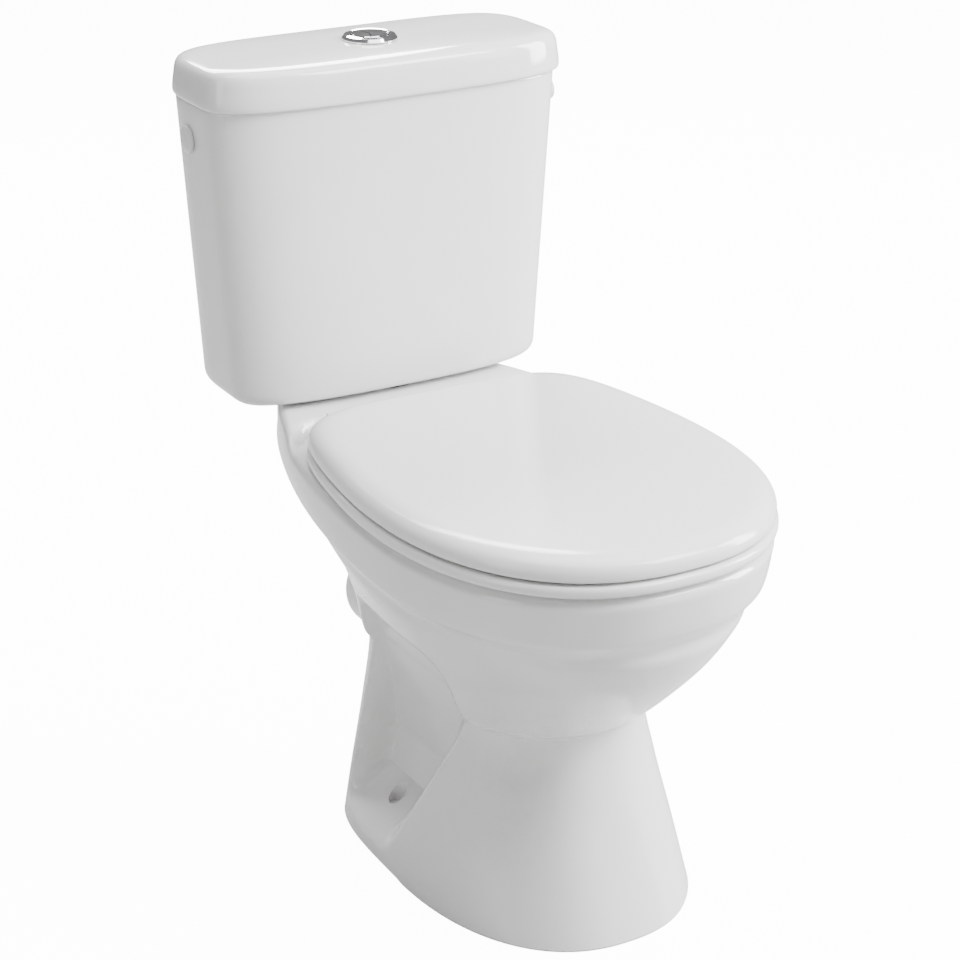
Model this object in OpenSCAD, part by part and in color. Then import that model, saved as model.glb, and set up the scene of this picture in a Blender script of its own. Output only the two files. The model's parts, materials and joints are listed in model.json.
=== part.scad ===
// Close coupled toilet: a glazed china pan with a horizontal outlet, a close coupled cistern with a
// two part push button, a seat and a lid. Millimetres, +Z up. The origin is on the floor, midway
// between the two floor fixing holes. The front faces -Y, and the wall is behind the cistern at +Y.

/* [Pan] */
// Height of the rim above the floor
rim_z = 394; // [392:1:396]
// How far the cistern platform stands above the rim
platform_rise = 15; // [13:1:15]
// Half the distance between the two floor fixing holes
fixing_x = 95; // [93:1:97]
// Radius of a floor fixing hole
fixing_r = 6; // [5:0.5:7]
// Outside radius of the outlet spigot
spigot_r = 51; // [50:0.5:52]
// Height of the outlet centre above the floor
outlet_z = 182; // [180:1:184]
// Where the spigot ends
spigot_end_y = 197; // [190:1:205]

/* [Cistern] */
// Underside of the cistern
cistern_z = 411.5; // [411.5:0.5:413]
// Joint between the cistern body and its lid
joint_z = 716; // [714:1:718]
// Centre of the flush outlet and of the push button, front to back
flush_y = 217; // [215:1:219]
// Height of the side inlet holes
inlet_z = 677; // [672:1:680]
// Distance of the side inlet holes from the floor fixings, front to back
inlet_y = 235; // [230:1:236]
// Half the distance between the coupling bolts
coupling_x = 70; // [68:1:72]

/* [Seat] */
// Height of the hinge axis
hinge_z = 411.5; // [411.5:0.1:411.8]
// Distance of the hinge axis from the floor fixings
hinge_y = 104; // [103.8:0.1:104]
// Half the distance between the two hinge posts
hinge_x = 77.5; // [76:0.5:79]
// Underside of the seat ring
seat_z = 397.5; // [397:0.1:397.6]
// Thickness of the seat ring
seat_t = 11.5; // [11:0.1:11.6]

/* [Push button] */
// Radius of the two buttons together
button_r = 18; // [17:0.5:18]
// Outside radius of the chrome ring
bezel_r = 27.5; // [26:0.5:29]
// Height of the button tops
button_z = 763; // [762:0.5:764]

/* [Hidden] */
$fn = 48;
eps = 0.01;
gap = 0.3;             // between surfaces of different bodies that would otherwise touch
ring_n = 70;           // points round each section of a moulded shape
white_china = "WhiteSmoke";
white_plastic = "White";
grey_plastic = "Gainsboro";
black_rubber = "DimGray";

// ---- Sections ------------------------------------------------------------------------------
// A section is [z, half width, middle y, front y, rear y, front exponent, rear exponent, waist].
// Waist is how much narrower it is towards the rear than a plain superellipse.
pan_sections = [
  [0, 139, -72, -281, 112, 2.3, 4, 0.06],
  [60, 128.5, -75, -254, 105, 2.3, 4, 0.02],
  [130, 112.5, -79, -229, 107, 2.3, 4, 0.03],
  [190, 102.5, -84, -219, 114, 2.2, 4, 0.1],
  [204, 112.5, -86, -235, 118, 2.2, 4, 0.14],
  [240, 124, -93, -274, 138, 2.2, 4, 0.25],
  [280, 144.5, -103, -310.5, 178, 2.2, 4, 0.36],
  [315, 162, -113, -332, 217, 2.2, 4.4, 0.32],
  [330, 165.5, -117, -333, 242, 2.3, 3.8, 0.26],
  [338, 171.5, -119, -337.5, 262, 2.3, 3.3, 0.2],
  [348, 179.5, -120, -344, 272, 2.3, 3.5, 0.23],
  [rim_z - 10, 183.5, -120, -353, 288, 2.3, 2.5, 0.11]
];
bowl_sections = [
  [112, 26, -52, -84, -22, 2.2, 2.4, 0],
  [125, 40, -54, -106, -8, 2.2, 2.4, 0],
  [150, 47, -62, -135, -6, 2.2, 2.4, 0],
  [180, 58, -78, -172, -4, 2.2, 2.4, 0],
  [215, 76, -95, -212, 4, 2.2, 2.5, 0],
  [250, 98, -112, -250, 16, 2.2, 2.5, 0],
  [290, 121, -128, -288, 28, 2.2, 2.6, 0],
  [330, 135, -138, -312, 38, 2.2, 2.6, 0],
  [350, 137, -140, -316, 40, 2.2, 2.6, 0]
];
mouth = [rim_z, 121, -140, -300, 28, 2.2, 2.6, 0];
cistern_sections = [
  [cistern_z, 171.5, 200, 149, 299, 2.75, 5.6, 0],
  [joint_z - gap, 190.5, 200, 144, 299, 3.1, 5.6, 0]
];
cistern_lid_section = [joint_z, 194.5, 198, 138, 304, 3.2, 5, 0];
seat_section = [seat_z, 186, -120, -356, 106.5, 2.3, 5, 0];
seat_opening = [seat_z, 112, -145, -296, 5, 2.2, 2.2, 0];
lid_section = [hinge_z, 184, -120, -354, 106.5, 2.3, 5, 0];
seat_waist = 0.09;
seat_waist_from = -120;
seat_waist_to = 70;
pan_waist_from = -117;
pan_waist_to = 288;
wall = 14;             // china wall under the pan
cistern_wall = 10;

function smooth(t) = let (u = min(1, max(0, t))) u * u * (3 - 2 * u);
function mix(a, b, t) = a + (b - a) * t;
function slope_at(rows, j) =
  let (a = max(0, j - 1), b = min(len(rows) - 1, j + 1))
  (rows[b] - rows[a]) / (rows[b][0] - rows[a][0]);
function row_below(rows, z, j = 0) =
  j >= len(rows) - 2 || z < rows[j + 1][0] ? j : row_below(rows, z, j + 1);
// The section at height z on a smooth curve through the given rows
function section(rows, z) =
  let (j = row_below(rows, z), h = rows[j + 1][0] - rows[j][0], t = (z - rows[j][0]) / h,
       t2 = t * t, t3 = t2 * t)
  (2 * t3 - 3 * t2 + 1) * rows[j] + (t3 - 2 * t2 + t) * h * slope_at(rows, j)
  + (3 * t2 - 2 * t3) * rows[j + 1] + (t3 - t2) * h * slope_at(rows, j + 1);
// A section drawn in by d all round
function inset(s, d) = [s[0], s[1] - d, s[2], s[3] + d, s[4] - d, s[5], s[6], s[7]];
function waist_at(y, k, from, to) = 1 - k * smooth((y - from) / (to - from));
// The outline of a section: n points, starting at +X and going through +Y. The rear half has
// three fifths of them.
function outline(s, n = ring_n, from = pan_waist_from, to = pan_waist_to) = [
  for (i = [0 : n - 1])
    let (m = n * 0.6, t = i < m ? 180 * i / m : 180 + 180 * (i - m) / (n - m),
         c = cos(t), d = sin(t), e = d < 0 ? s[5] : s[6],
         r = pow(pow(abs(c), e) + pow(abs(d), e), -1 / e),
         y = s[2] + (d < 0 ? s[2] - s[3] : s[4] - s[2]) * d * r)
    [s[1] * waist_at(y, s[7], from, to) * c * r, y]
];
function at_z(points, z) = [for (p = points) [p[0], p[1], z]];
function blend_rings(a, b, t) = [for (i = [0 : len(a) - 1]) mix(a[i], b[i], t)];

// ---- The pan's side recess ------------------------------------------------------------------
recess_rear_y = 60;
// Half width of the web inside the recess; it meets the bowl's underside at its top
function web_x(z) =
  z < 14 ? 200 : z < 60 ? mix(137, 74, (z - 14) / 46) : z < 100 ? mix(74, 70, (z - 60) / 40)
  : z < 200 ? mix(70, 84, (z - 100) / 100) : z < 232 ? mix(84, 91, (z - 200) / 32)
  : 91 + (z - 232) * 1.04;
function recess_front_y(z) = -150 + (200 - min(z, 200)) * 0.54;
function recessed(p, web, front_y, rear_y) =
  [sign(p[0]) * (abs(p[0]) - max(0, abs(p[0]) - web)
    * smooth((p[1] - front_y) / 34) * smooth((rear_y - p[1]) / 18)), p[1], p[2]];
function pan_ring(z) =
  [for (p = at_z(outline(section(pan_sections, z)), z))
    recessed(p, web_x(z), recess_front_y(z), recess_rear_y)];
// The hollow under the pedestal, at share u of its height, which is greater at the front
function hollow_top(y) = 85 + 80 * smooth((-95 - y) / 90);
function hollow_ring(u) = [
  for (i = [0 : ring_n - 1])
    let (foot_y = outline(pan_sections[0])[i][1], z = u * hollow_top(foot_y),
         p = outline(inset(section(pan_sections, z), wall))[i])
    recessed([p[0], p[1], z], max(58, min(web_x(z), 80) - wall), recess_front_y(60) - wall,
      recess_rear_y + wall)
];
// How far the top face stands above the rim, towards the cistern
function platform(y) = platform_rise * smooth((y - 60) / 60);
function lifted(points, z) = [for (p = points) [p[0], p[1], z + platform(p[1])]];
rim_edge = 9;
function rim_ring(angle) =
  lifted(outline(inset(pan_sections[len(pan_sections) - 1], rim_edge * (1 - cos(angle)))),
    rim_z - rim_edge + rim_edge * sin(angle));

// ---- Building blocks ------------------------------------------------------------------------
// A closed solid through a list of rings, each with the same number of points, and closed by a
// point at each end. The first ring is the lowest of the outside.
module skin(rings, first, last) {
  n = len(rings[0]);
  m = len(rings);
  points = concat([for (r = rings) each r], [first, last]);
  faces = concat(
    [for (j = [0 : m - 2], i = [0 : n - 1]) let (k = (i + 1) % n)
      each [[j * n + i, (j + 1) * n + i, (j + 1) * n + k], [j * n + i, (j + 1) * n + k, j * n + k]]],
    [for (i = [0 : n - 1]) [m * n, i, (i + 1) % n]],
    [for (i = [0 : n - 1]) [m * n + 1, (m - 1) * n + (i + 1) % n, (m - 1) * n + i]]);
  polyhedron(points = points, faces = faces, convexity = 10);
}
// A tube through points in the plane x = 0
module swept(path, r, sides = 16) {
  function along(i) = let (d = path[min(i + 1, len(path) - 1)] - path[max(i - 1, 0)]) d / norm(d);
  rings = [for (i = [0 : len(path) - 1]) [for (a = [0 : sides - 1])
    let (t = -360 * a / sides) path[i] + r * (cos(t) * [1, 0, 0]
      + sin(t) * [0, -along(i)[2], along(i)[1]])]];
  skin(rings, path[0], path[len(path) - 1]);
}
module tube(r_out, r_in, h) {
  difference() {
    cylinder(r = r_out, h = h);
    translate([0, 0, -1]) cylinder(r = r_in, h = h + 2);
  }
}
module both_sides(x) for (s = [-1, 1]) translate([s * x, 0, 0]) children();
module along_x(x, y, z) translate([x, y, z]) rotate([0, 90, 0]) children();
module hex_nut(r, bore, h) {
  difference() {
    cylinder(r = r, h = h, $fn = 6);
    translate([0, 0, -1]) cylinder(r = bore, h = h + 2);
  }
}
module wing_nut(bore, h) {
  difference() {
    union() {
      cylinder(r = bore + 3.2, h = h);
      for (a = [0, 180]) rotate([0, 0, a]) translate([bore + 1.5, -1.6, 0]) cube([6, 3.2, h * 0.8]);
    }
    translate([0, 0, -1]) cylinder(r = bore, h = h + 2);
  }
}

// ---- Pan --------------------------------------------------------------------------------------
trap_path = [[0, -48, 146], [0, -12, 146], [0, 22, 162], [0, 48, 195], [0, 74, 224], [0, 102, 224],
  [0, 126, 202], [0, 150, outlet_z]];
pan_levels = [0, 14, 36, 60, 80, 100, 130, 165, 188, 192, 197, 204, 216, 232, 248, 264, 282, 300, 318,
  328, 333, 338, 343, 349, 366, rim_z - 10];
bowl_levels = [350, 340, 320, 295, 265, 235, 205, 175, 150, 130, 118, 112];
spigot_free_y = 150;   // where the free end of the spigot starts
slab_z = rim_z - 18;   // underside of the slab that the fixings clamp
pocket = [rim_z, 192, -120, -362, 127, 2.3, 5, 0.09];
seat_floor_z = rim_z + 0.2;

module pan_china() {
  rim_outer = rim_ring(90);
  mouth_ring = at_z(outline(mouth), rim_z);
  skin(concat(
      [for (u = [1, 0.6, 0.25, 0]) hollow_ring(u)],
      [for (z = pan_levels) pan_ring(z)],
      [for (a = [0, 35, 65]) rim_ring(a)],
      [for (t = [0, 0.15, 0.3, 0.45, 0.6, 0.75, 0.96]) lifted(blend_rings(rim_outer, mouth_ring, t), rim_z)],
      [at_z(outline(inset(mouth, 3)), rim_z - 6), at_z(outline(inset(mouth, 2)), rim_z - 40)],
      [for (z = bowl_levels) at_z(outline(section(bowl_sections, z)), z)]),
    [0, -60, 85], [0, -53, 110]);
}
module pan() color(white_china) difference() {
  union() {
    pan_china();
    translate([0, 80, outlet_z]) rotate([-90, 0, 0]) cylinder(r = spigot_r - 1.5, h = 80);
    translate([0, spigot_free_y, outlet_z]) rotate([-90, 0, 0])
      cylinder(r = spigot_r, h = spigot_end_y - spigot_free_y);
  }
  swept(trap_path, 36);
  translate([0, 130, outlet_z]) rotate([-90, 0, 0]) cylinder(r = 43, h = 100);
  // flush water's way in: a seat for the washer, a bore and a chamber that feeds the rim
  translate([0, flush_y, rim_z - 14]) cylinder(r = 50, h = 60);
  translate([0, flush_y, rim_z - 38]) cylinder(r = 34, h = 60);
  translate([-42, 52, rim_z - 40]) cube([84, flush_y - 32, 22]);
  translate([0, 20, rim_z - 30]) rotate([-90, 0, 0]) cylinder(r = 9, h = 60);
  // the seat's rear part and the hinge posts sit lower than the cistern platform
  translate([0, 0, seat_floor_z]) linear_extrude(40) intersection() {
    polygon(outline(pocket, ring_n, seat_waist_from, seat_waist_to));
    translate([-200, 50]) square([400, 100]);
  }
  // open hollows under the deck, where the nuts are reached
  for (side = [0, 1]) mirror([side, 0, 0]) translate([54, 76, 264]) cube([32, 154, slab_z - 264]);
  both_sides(coupling_x) translate([0, flush_y, slab_z - 10]) cylinder(r = 6, h = 60);
  both_sides(hinge_x) translate([0, hinge_y, slab_z - 10]) cylinder(r = 4.5, h = 60);
  both_sides(fixing_x) translate([0, 0, -5]) cylinder(r = fixing_r, h = 80);
}

// ---- Coupling between pan and cistern ------------------------------------------------------------
cistern_floor = cistern_z + 12;
module doughnut_washer() color(black_rubber) translate([0, flush_y, rim_z - 13.5])
  tube(49, 40, cistern_z - rim_z + 13);
module coupling_bolts() color("silver") both_sides(coupling_x) translate([0, flush_y, 0]) {
  translate([0, 0, slab_z - 18]) cylinder(r = 4, h = cistern_floor + 8 - slab_z + 18);
  translate([0, 0, cistern_floor + 7.5]) cylinder(r = 8, h = 5);
}
module coupling_cone_washers() color(black_rubber) both_sides(coupling_x)
  translate([0, flush_y, cistern_floor + 0.2]) rotate_extrude()
    polygon([[4.05, 0], [15, 0], [15, 3], [9, 7], [4.05, 7]]);
module coupling_pan_washers() color(black_rubber) both_sides(coupling_x)
  translate([0, flush_y, slab_z - 3]) tube(12.5, 4.2, 3);
module coupling_steel_washers() color("silver") both_sides(coupling_x)
  translate([0, flush_y, slab_z - 4.6]) tube(12, 4.2, 1.6);
module coupling_wing_nuts() color("silver") both_sides(coupling_x)
  translate([0, flush_y, slab_z - 14.6]) rotate([0, 0, 90]) wing_nut(4.1, 10);

// ---- Cistern -----------------------------------------------------------------------------------
function tank_ring(z, d) = at_z(outline(inset(section(cistern_sections, z), d)), z);
module cistern_body() color(white_china) {
  top = joint_z - gap;
  difference() {
    skin(concat(
        [for (b = [[0, 21], [2, 11.5], [5.4, 5.4], [9.6, 1.6], [16.8, 0]]) tank_ring(cistern_z + b[0], b[1])],
        [tank_ring(cistern_z + 150, 0), tank_ring(top - 3, 0), tank_ring(top, 3)],
        [tank_ring(top, cistern_wall - 3), tank_ring(top - 3, cistern_wall)],
        [for (b = [[150, 0], [24, 0], [15, 4], [12, 14]])
          tank_ring(cistern_z + b[0], cistern_wall + b[1])]),
      [0, flush_y, cistern_z], [0, flush_y, cistern_floor]);
    translate([0, flush_y, cistern_z - 10]) cylinder(r = 32, h = 40);
    both_sides(coupling_x) translate([0, flush_y, cistern_z - 10]) cylinder(r = 5, h = 40);
    along_x(-220, inlet_y, inlet_z) cylinder(r = 11.5, h = 440);
  }
}

// ---- Blanking plug on the spare inlet hole --------------------------------------------------------
plug_x = -189.3;        // the plug's head, outside the wall
inside_x = 175.5;      // where flat washers meet the inside of the tapered wall
module inlet_plug() color(white_plastic) along_x(plug_x, inlet_y, inlet_z) rotate([180, 0, 0]) {
  rotate_extrude() polygon([[0, 0], [13.6, 0], [13.6, 1.4], [12.8, 2.6], [10, 3.4], [0, 3.8]]);
  translate([0, 0, -28]) cylinder(r = 10, h = 28 + eps);
}
module inlet_plug_washer() color(black_rubber) along_x(-inside_x, inlet_y, inlet_z)
  tube(16, 10.1, 2.4);
module inlet_plug_nut() color(grey_plastic) along_x(-inside_x + 2.6, inlet_y, inlet_z)
  hex_nut(16, 10.1, 8);

// ---- Fill valve --------------------------------------------------------------------------------
inlet_r = 10.4775;     // half inch pipe thread
inlet_free_x = 199;    // where the free end of the threaded shank starts
arm_x = 125;
arm_y = 200;
arm_z = inlet_z - 5;
module fill_valve_body() color(white_plastic) difference() {
  union() {
    along_x(120, inlet_y, inlet_z) cylinder(r = 14, h = 50);
    along_x(inside_x - 12.5, inlet_y, inlet_z) cylinder(r = 17, h = 10.2);
    along_x(165, inlet_y, inlet_z) cylinder(r = inlet_r - 0.2, h = inlet_free_x - 164);
    along_x(inlet_free_x, inlet_y, inlet_z) cylinder(r = inlet_r, h = 19);
    for (y = [arm_y - 8, arm_y + 4]) translate([arm_x - 6, y, arm_z - 7]) cube([24, 4, 14]);
    translate([arm_x + 10, arm_y - 8, arm_z - 7]) cube([14, inlet_y - arm_y - 2, 14]);
    translate([140, inlet_y, inlet_z - 24]) cylinder(r = 9, h = 24);
  }
  along_x(150, inlet_y, inlet_z) cylinder(r = 6, h = 80);
  translate([140, inlet_y, inlet_z - 30]) cylinder(r = 6, h = 24);
  translate([arm_x, arm_y - 20, arm_z]) rotate([-90, 0, 0]) cylinder(r = 2, h = 40);
}
module fill_valve_inner_washer() color(black_rubber) along_x(inside_x - 2.1, inlet_y, inlet_z)
  tube(16, 10.4, 2.1);
module fill_valve_outer_washer() color(black_rubber) along_x(189.3, inlet_y, inlet_z)
  tube(15, 10.4, 1.8);
module fill_valve_backnut() color(grey_plastic) along_x(191.3, inlet_y, inlet_z)
  hex_nut(17, 10.35, 7);
module fill_valve_silencer_tube() color(grey_plastic) translate([140, inlet_y, 452])
  tube(5.9, 4.7, inlet_z - 14 - 452);
module float_arm_pin() color("silver") translate([arm_x, arm_y - 9.5, arm_z]) rotate([-90, 0, 0])
  cylinder(r = 2, h = 19);
float_x = 70;
arm_drop = 20;         // the float hangs this many degrees below level, as in an empty cistern
module hanging() translate([arm_x, arm_y, arm_z]) rotate([0, -arm_drop, 0])
  translate([-arm_x, -arm_y, -arm_z]) children();
module float_arm() color(grey_plastic) hanging() difference() {
  union() {
    translate([arm_x, arm_y - 3, arm_z]) rotate([-90, 0, 0]) cylinder(r = 5, h = 6);
    translate([float_x, arm_y - 3, arm_z - 3]) cube([arm_x - float_x, 6, 6]);
    translate([float_x, arm_y, arm_z - 14]) cylinder(r = 4, h = 17);
  }
  translate([arm_x, arm_y - 20, arm_z]) rotate([-90, 0, 0]) cylinder(r = 2.06, h = 40);
}
module fill_float() color(white_plastic) hanging() translate([float_x, arm_y, arm_z - 66]) difference() {
  rotate_extrude() polygon([[0, 0], [17, 0], [20, 3], [20, 50], [17, 53], [0, 53]]);
  translate([0, 0, 50]) cylinder(r = 4, h = 10);
  translate([0, 0, -1]) cylinder(r = 17, h = 40);
}

// ---- Flush valve ---------------------------------------------------------------------------------
head_z = 655;
module flush_valve_body() color(grey_plastic) translate([0, flush_y, 0]) {
  difference() {
    union() {
      translate([0, 0, rim_z - 10]) cylinder(r = 30, h = cistern_floor + 3 - rim_z + 10);
      translate([0, 0, cistern_floor + 2.5]) cylinder(r = 42, h = 8);
    }
    translate([0, 0, rim_z - 20]) cylinder(r = 25, h = 80);
  }
  for (a = [45 : 90 : 315]) rotate([0, 0, a]) translate([33, -4, cistern_floor + 10])
    cube([5, 8, 122]);
  translate([0, 0, cistern_floor + 130]) tube(38, 31, 10);
  for (a = [0, 180]) rotate([0, 0, a]) translate([31, -6, cistern_floor + 138])
    cube([5, 12, head_z - cistern_floor - 138]);
}
module flush_valve_washer() color(black_rubber) translate([0, flush_y, cistern_floor + 0.2])
  tube(40, 30.05, 2.2);
module flush_valve_backnut() color(grey_plastic) translate([0, flush_y, cistern_z - 10.2])
  hex_nut(39, 30.05, 10);
module flush_valve_head() color("SteelBlue") translate([0, flush_y, head_z]) difference() {
  union() {
    translate([-36, -14, 0]) cube([72, 28, 4]);
    cylinder(r = 17, h = 14);
  }
  translate([0, 0, -1]) cylinder(r = 13, h = 10);
  both_sides(9) translate([0, 0, -1]) cylinder(r = 3.6, h = 20);
}
seal_z = cistern_floor + 11;
module flush_seal() color(black_rubber) translate([0, flush_y, seal_z]) tube(29.5, 12.1, 3);
module flush_plunger() color(white_plastic) translate([0, flush_y, seal_z + 3.1]) difference() {
  rotate_extrude() polygon([[12.05, 0], [28, 0], [28, 5], [24, 9], [24, 80], [20, 84], [12.05, 84]]);
  translate([0, 0, -1]) tube(21, 15, 70);
}
module overflow_tube() color(grey_plastic) translate([0, flush_y, seal_z - 3]) tube(12, 10, 195);

// ---- Cistern lid and push button ---------------------------------------------------------------
lid_top = joint_z + 41;
function lid_ring(z, d) = at_z(outline(inset(cistern_lid_section, d)), z);
module cistern_lid() color(white_china) difference() {
  skin(concat(
      [lid_ring(joint_z + 28, 40), lid_ring(joint_z + 26, 27), lid_ring(joint_z - 10, 26)],
      [lid_ring(joint_z - 10, 20), lid_ring(joint_z, 19), lid_ring(joint_z, 2)],
      [for (b = [[2, 0.4], [6, 0], [20, 1.6], [27, 2.6], [32, 4], [35.3, 6.6], [37.4, 10.6], [38.6, 17]])
        lid_ring(joint_z + b[0], b[1])],
      [for (t = [0.3, 0.65]) let (z = lid_top - 2.4 * pow(1 - t, 2))
        blend_rings(lid_ring(z, 17), at_z([for (i = [1 : ring_n]) [0, flush_y]], z), t)]),
    [0, flush_y, joint_z + 28], [0, flush_y, lid_top]);
  translate([0, flush_y, joint_z]) cylinder(r = 21, h = 60);
}
module button_ring() color("silver") translate([0, flush_y, lid_top + gap]) rotate_extrude()
  polygon([[18.6, 0], [bezel_r, 0], [bezel_r, 1.2], [25.5, 4], [22, 5.2], [20, 4.8], [18.6, 3.6]]);
sleeve_z = joint_z + 6;
module button_sleeve() color(grey_plastic) translate([0, flush_y, sleeve_z]) difference() {
  cylinder(r = 20.5, h = lid_top + 0.2 - sleeve_z);
  translate([0, 0, 3]) cylinder(r = 18.5, h = 40);
  both_sides(9) translate([0, 0, -1]) cylinder(r = 3.1, h = 10);
}
module button_clamp_nut() color(grey_plastic) translate([0, flush_y, joint_z + 19.7])
  hex_nut(30, 20.55, 8);
// One of the two buttons: the disc is split along a curve, so the small one is a lens shape
split_x = -30.5;
split_r = 28;
module button_disc() rotate_extrude()
  polygon([[0, 0], [button_r, 0], [button_r, 9.6], [button_r - 1.2, 10.6], [0, 11]]);
module half_flush_button() color("silver") translate([0, flush_y, button_z - 11]) intersection() {
  button_disc();
  translate([split_x, 0, -1]) cylinder(r = split_r, h = 20);
}
module full_flush_button() color("silver") translate([0, flush_y, button_z - 11]) difference() {
  button_disc();
  translate([split_x, 0, -1]) cylinder(r = split_r + 0.8, h = 20);
}
rod_bottom = head_z + 12;
module push_rod(x) translate([x, flush_y, rod_bottom]) cylinder(r = 2.6, h = button_z - 11 - rod_bottom);
module button_spring(x) translate([x, flush_y, sleeve_z + 3.1])
  tube(4.6, 3.2, button_z - 11 - sleeve_z - 3.3);
module half_flush_rod() color(white_plastic) push_rod(-9);
module full_flush_rod() color(white_plastic) push_rod(9);
module half_flush_spring() color("silver") button_spring(-9);
module full_flush_spring() color("silver") button_spring(9);

// ---- Seat hinges ----------------------------------------------------------------------------------
post_w = 24;
module at_hinge(x) translate([x, hinge_y, hinge_z]) rotate([0, 90, 0]) children();
module hinge_posts() color("silver") both_sides(hinge_x) difference() {
  union() {
    translate([-post_w / 2, hinge_y - 8, seat_floor_z]) cube([post_w, 16, hinge_z - seat_floor_z]);
    at_hinge(-post_w / 2) cylinder(r = 8, h = post_w);
  }
  at_hinge(-post_w) cylinder(r = 3, h = 2 * post_w);
  translate([0, hinge_y, rim_z - 1]) cylinder(r = 3, h = 11);
}
module hinge_pins() color("silver") both_sides(hinge_x) at_hinge(-36) cylinder(r = 3, h = 72);
module hinge_studs() color("silver") both_sides(hinge_x) translate([0, hinge_y, slab_z - 22])
  cylinder(r = 3, h = rim_z + 9 - slab_z + 22);
module hinge_cone_washers() color(black_rubber) both_sides(hinge_x)
  translate([0, hinge_y, slab_z - 5]) tube(8, 3.1, 5);
module hinge_wing_nuts() color(white_plastic) both_sides(hinge_x)
  translate([0, hinge_y, slab_z - 15.1]) rotate([0, 0, 90]) wing_nut(3.1, 10);

// ---- Seat and lid -----------------------------------------------------------------------------------
function seat_outline(s, d) =
  outline([s[0], s[1] - d, s[2], s[3] + d, s[4] - d, s[5], s[6], seat_waist], ring_n,
    seat_waist_from, seat_waist_to);
function seat_ring_at(z, d) = at_z(seat_outline(seat_section, d), seat_z + z);
function opening_at(z, d) = at_z(outline(inset(seat_opening, d)), seat_z + z);
module torus_skin(rings) {
  n = len(rings[0]);
  m = len(rings);
  polyhedron(points = [for (r = rings) each r], convexity = 10,
    faces = [for (j = [0 : m - 1], i = [0 : n - 1]) let (k = (i + 1) % n, l = (j + 1) % m)
      each [[j * n + i, l * n + i, l * n + k], [j * n + i, l * n + k, j * n + k]]]);
}
module seat_knuckle(x, w) both_sides(hinge_x) at_hinge(x) cylinder(r = 7, h = w);
module seat_ring() color(white_plastic) difference() {
  union() {
    torus_skin(concat(
      [seat_ring_at(0, 3), seat_ring_at(1.2, 0.8), seat_ring_at(4, 0)],
      [seat_ring_at(seat_t - 3, 0.3), seat_ring_at(seat_t - 0.8, 2), seat_ring_at(seat_t, 5)],
      [opening_at(seat_t, -12), opening_at(seat_t - 3, -3), opening_at(seat_t - 7, 0)],
      [opening_at(2, -1.5), opening_at(0, -4)]));
    seat_knuckle(-23, 10);
    seat_knuckle(13, 10);
  }
  both_sides(hinge_x) translate([-13, hinge_y - 14, seat_z - 5]) cube([26, 40, 40]);
  for (x = [-37.5, 23.5]) both_sides(hinge_x)
    translate([x, hinge_y - 10, seat_z - 5]) cube([14, 40, 40]);
  both_sides(hinge_x) at_hinge(-50) cylinder(r = 3.05, h = 100);
}
bumper_spots = [[150, -60], [134, -228]];
module at_spots() for (s = [-1, 1], b = bumper_spots) translate([s * b[0], b[1], 0]) children();
module seat_bumpers() color(grey_plastic) at_spots() translate([0, 0, rim_z + gap])
  cylinder(r = 8, h = seat_z - rim_z - gap);
function cover_ring(z, d) = at_z(seat_outline(lid_section, d), hinge_z + z);
module seat_lid() color(white_plastic) difference() {
  union() {
    skin(concat(
        [for (t = [0.45, 0.8]) blend_rings(cover_ring(18.5 - 3.6 * t * t, 8),
          at_z([for (i = [1 : ring_n]) [0, -120]], hinge_z + 18.5 - 3.6 * t * t), 1 - t)],
        [cover_ring(13, 10), cover_ring(8, 6.8), cover_ring(0, 6)],
        [cover_ring(0, 1.6), cover_ring(1.6, 0), cover_ring(6.4, 0.15), cover_ring(11.4, 1.9)],
        [cover_ring(15.6, 5.7), cover_ring(18.7, 12), cover_ring(20.6, 22)],
        [for (t = [0.75, 0.4]) blend_rings(cover_ring(20.6 + 3.9 * (1 - t * t), 22),
          at_z([for (i = [1 : ring_n]) [0, -120]], hinge_z + 20.6 + 3.9 * (1 - t * t)), 1 - t)]),
      [0, -120, hinge_z + 18.5], [0, -120, hinge_z + 24.5]);
    for (x = [-36.5, 24.5]) both_sides(hinge_x) {
      translate([x, hinge_y - 9, hinge_z]) cube([12, 8, 13]);
      at_hinge(x) cylinder(r = 7, h = 12);
    }
  }
  both_sides(hinge_x) translate([-24, hinge_y - 11, hinge_z - 9]) cube([48, 40, 19]);
  both_sides(hinge_x) at_hinge(-50) cylinder(r = 3.05, h = 100);
}
module lid_bumpers() color(grey_plastic) at_spots() translate([0, 0, seat_z + seat_t + gap])
  cylinder(r = 6, h = 19);

pan();
doughnut_washer();
coupling_bolts();
coupling_cone_washers();
coupling_pan_washers();
coupling_steel_washers();
coupling_wing_nuts();
cistern_body();
inlet_plug();
inlet_plug_washer();
inlet_plug_nut();
fill_valve_body();
fill_valve_inner_washer();
fill_valve_outer_washer();
fill_valve_backnut();
fill_valve_silencer_tube();
float_arm_pin();
float_arm();
fill_float();
flush_valve_body();
flush_valve_washer();
flush_valve_backnut();
flush_valve_head();
flush_plunger();
flush_seal();
overflow_tube();
cistern_lid();
button_ring();
button_sleeve();
button_clamp_nut();
half_flush_button();
half_flush_rod();
half_flush_spring();
full_flush_button();
full_flush_rod();
full_flush_spring();
hinge_posts();
hinge_pins();
hinge_studs();
hinge_cone_washers();
hinge_wing_nuts();
seat_ring();
seat_bumpers();
seat_lid();
lid_bumpers();
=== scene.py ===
"""A close coupled toilet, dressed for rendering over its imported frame.

Lengths inside the classes are in millimetres, because the toilet's sizes are. Meshes are written
in metres, in the frame's own axes: +Z up, -Y to the front, the origin on the floor midway between
the two floor fixing holes.
"""

import json
import logging
import math
from collections.abc import Callable, Iterable, Sequence
from dataclasses import astuple, dataclass, field, replace
from enum import Enum

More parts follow.
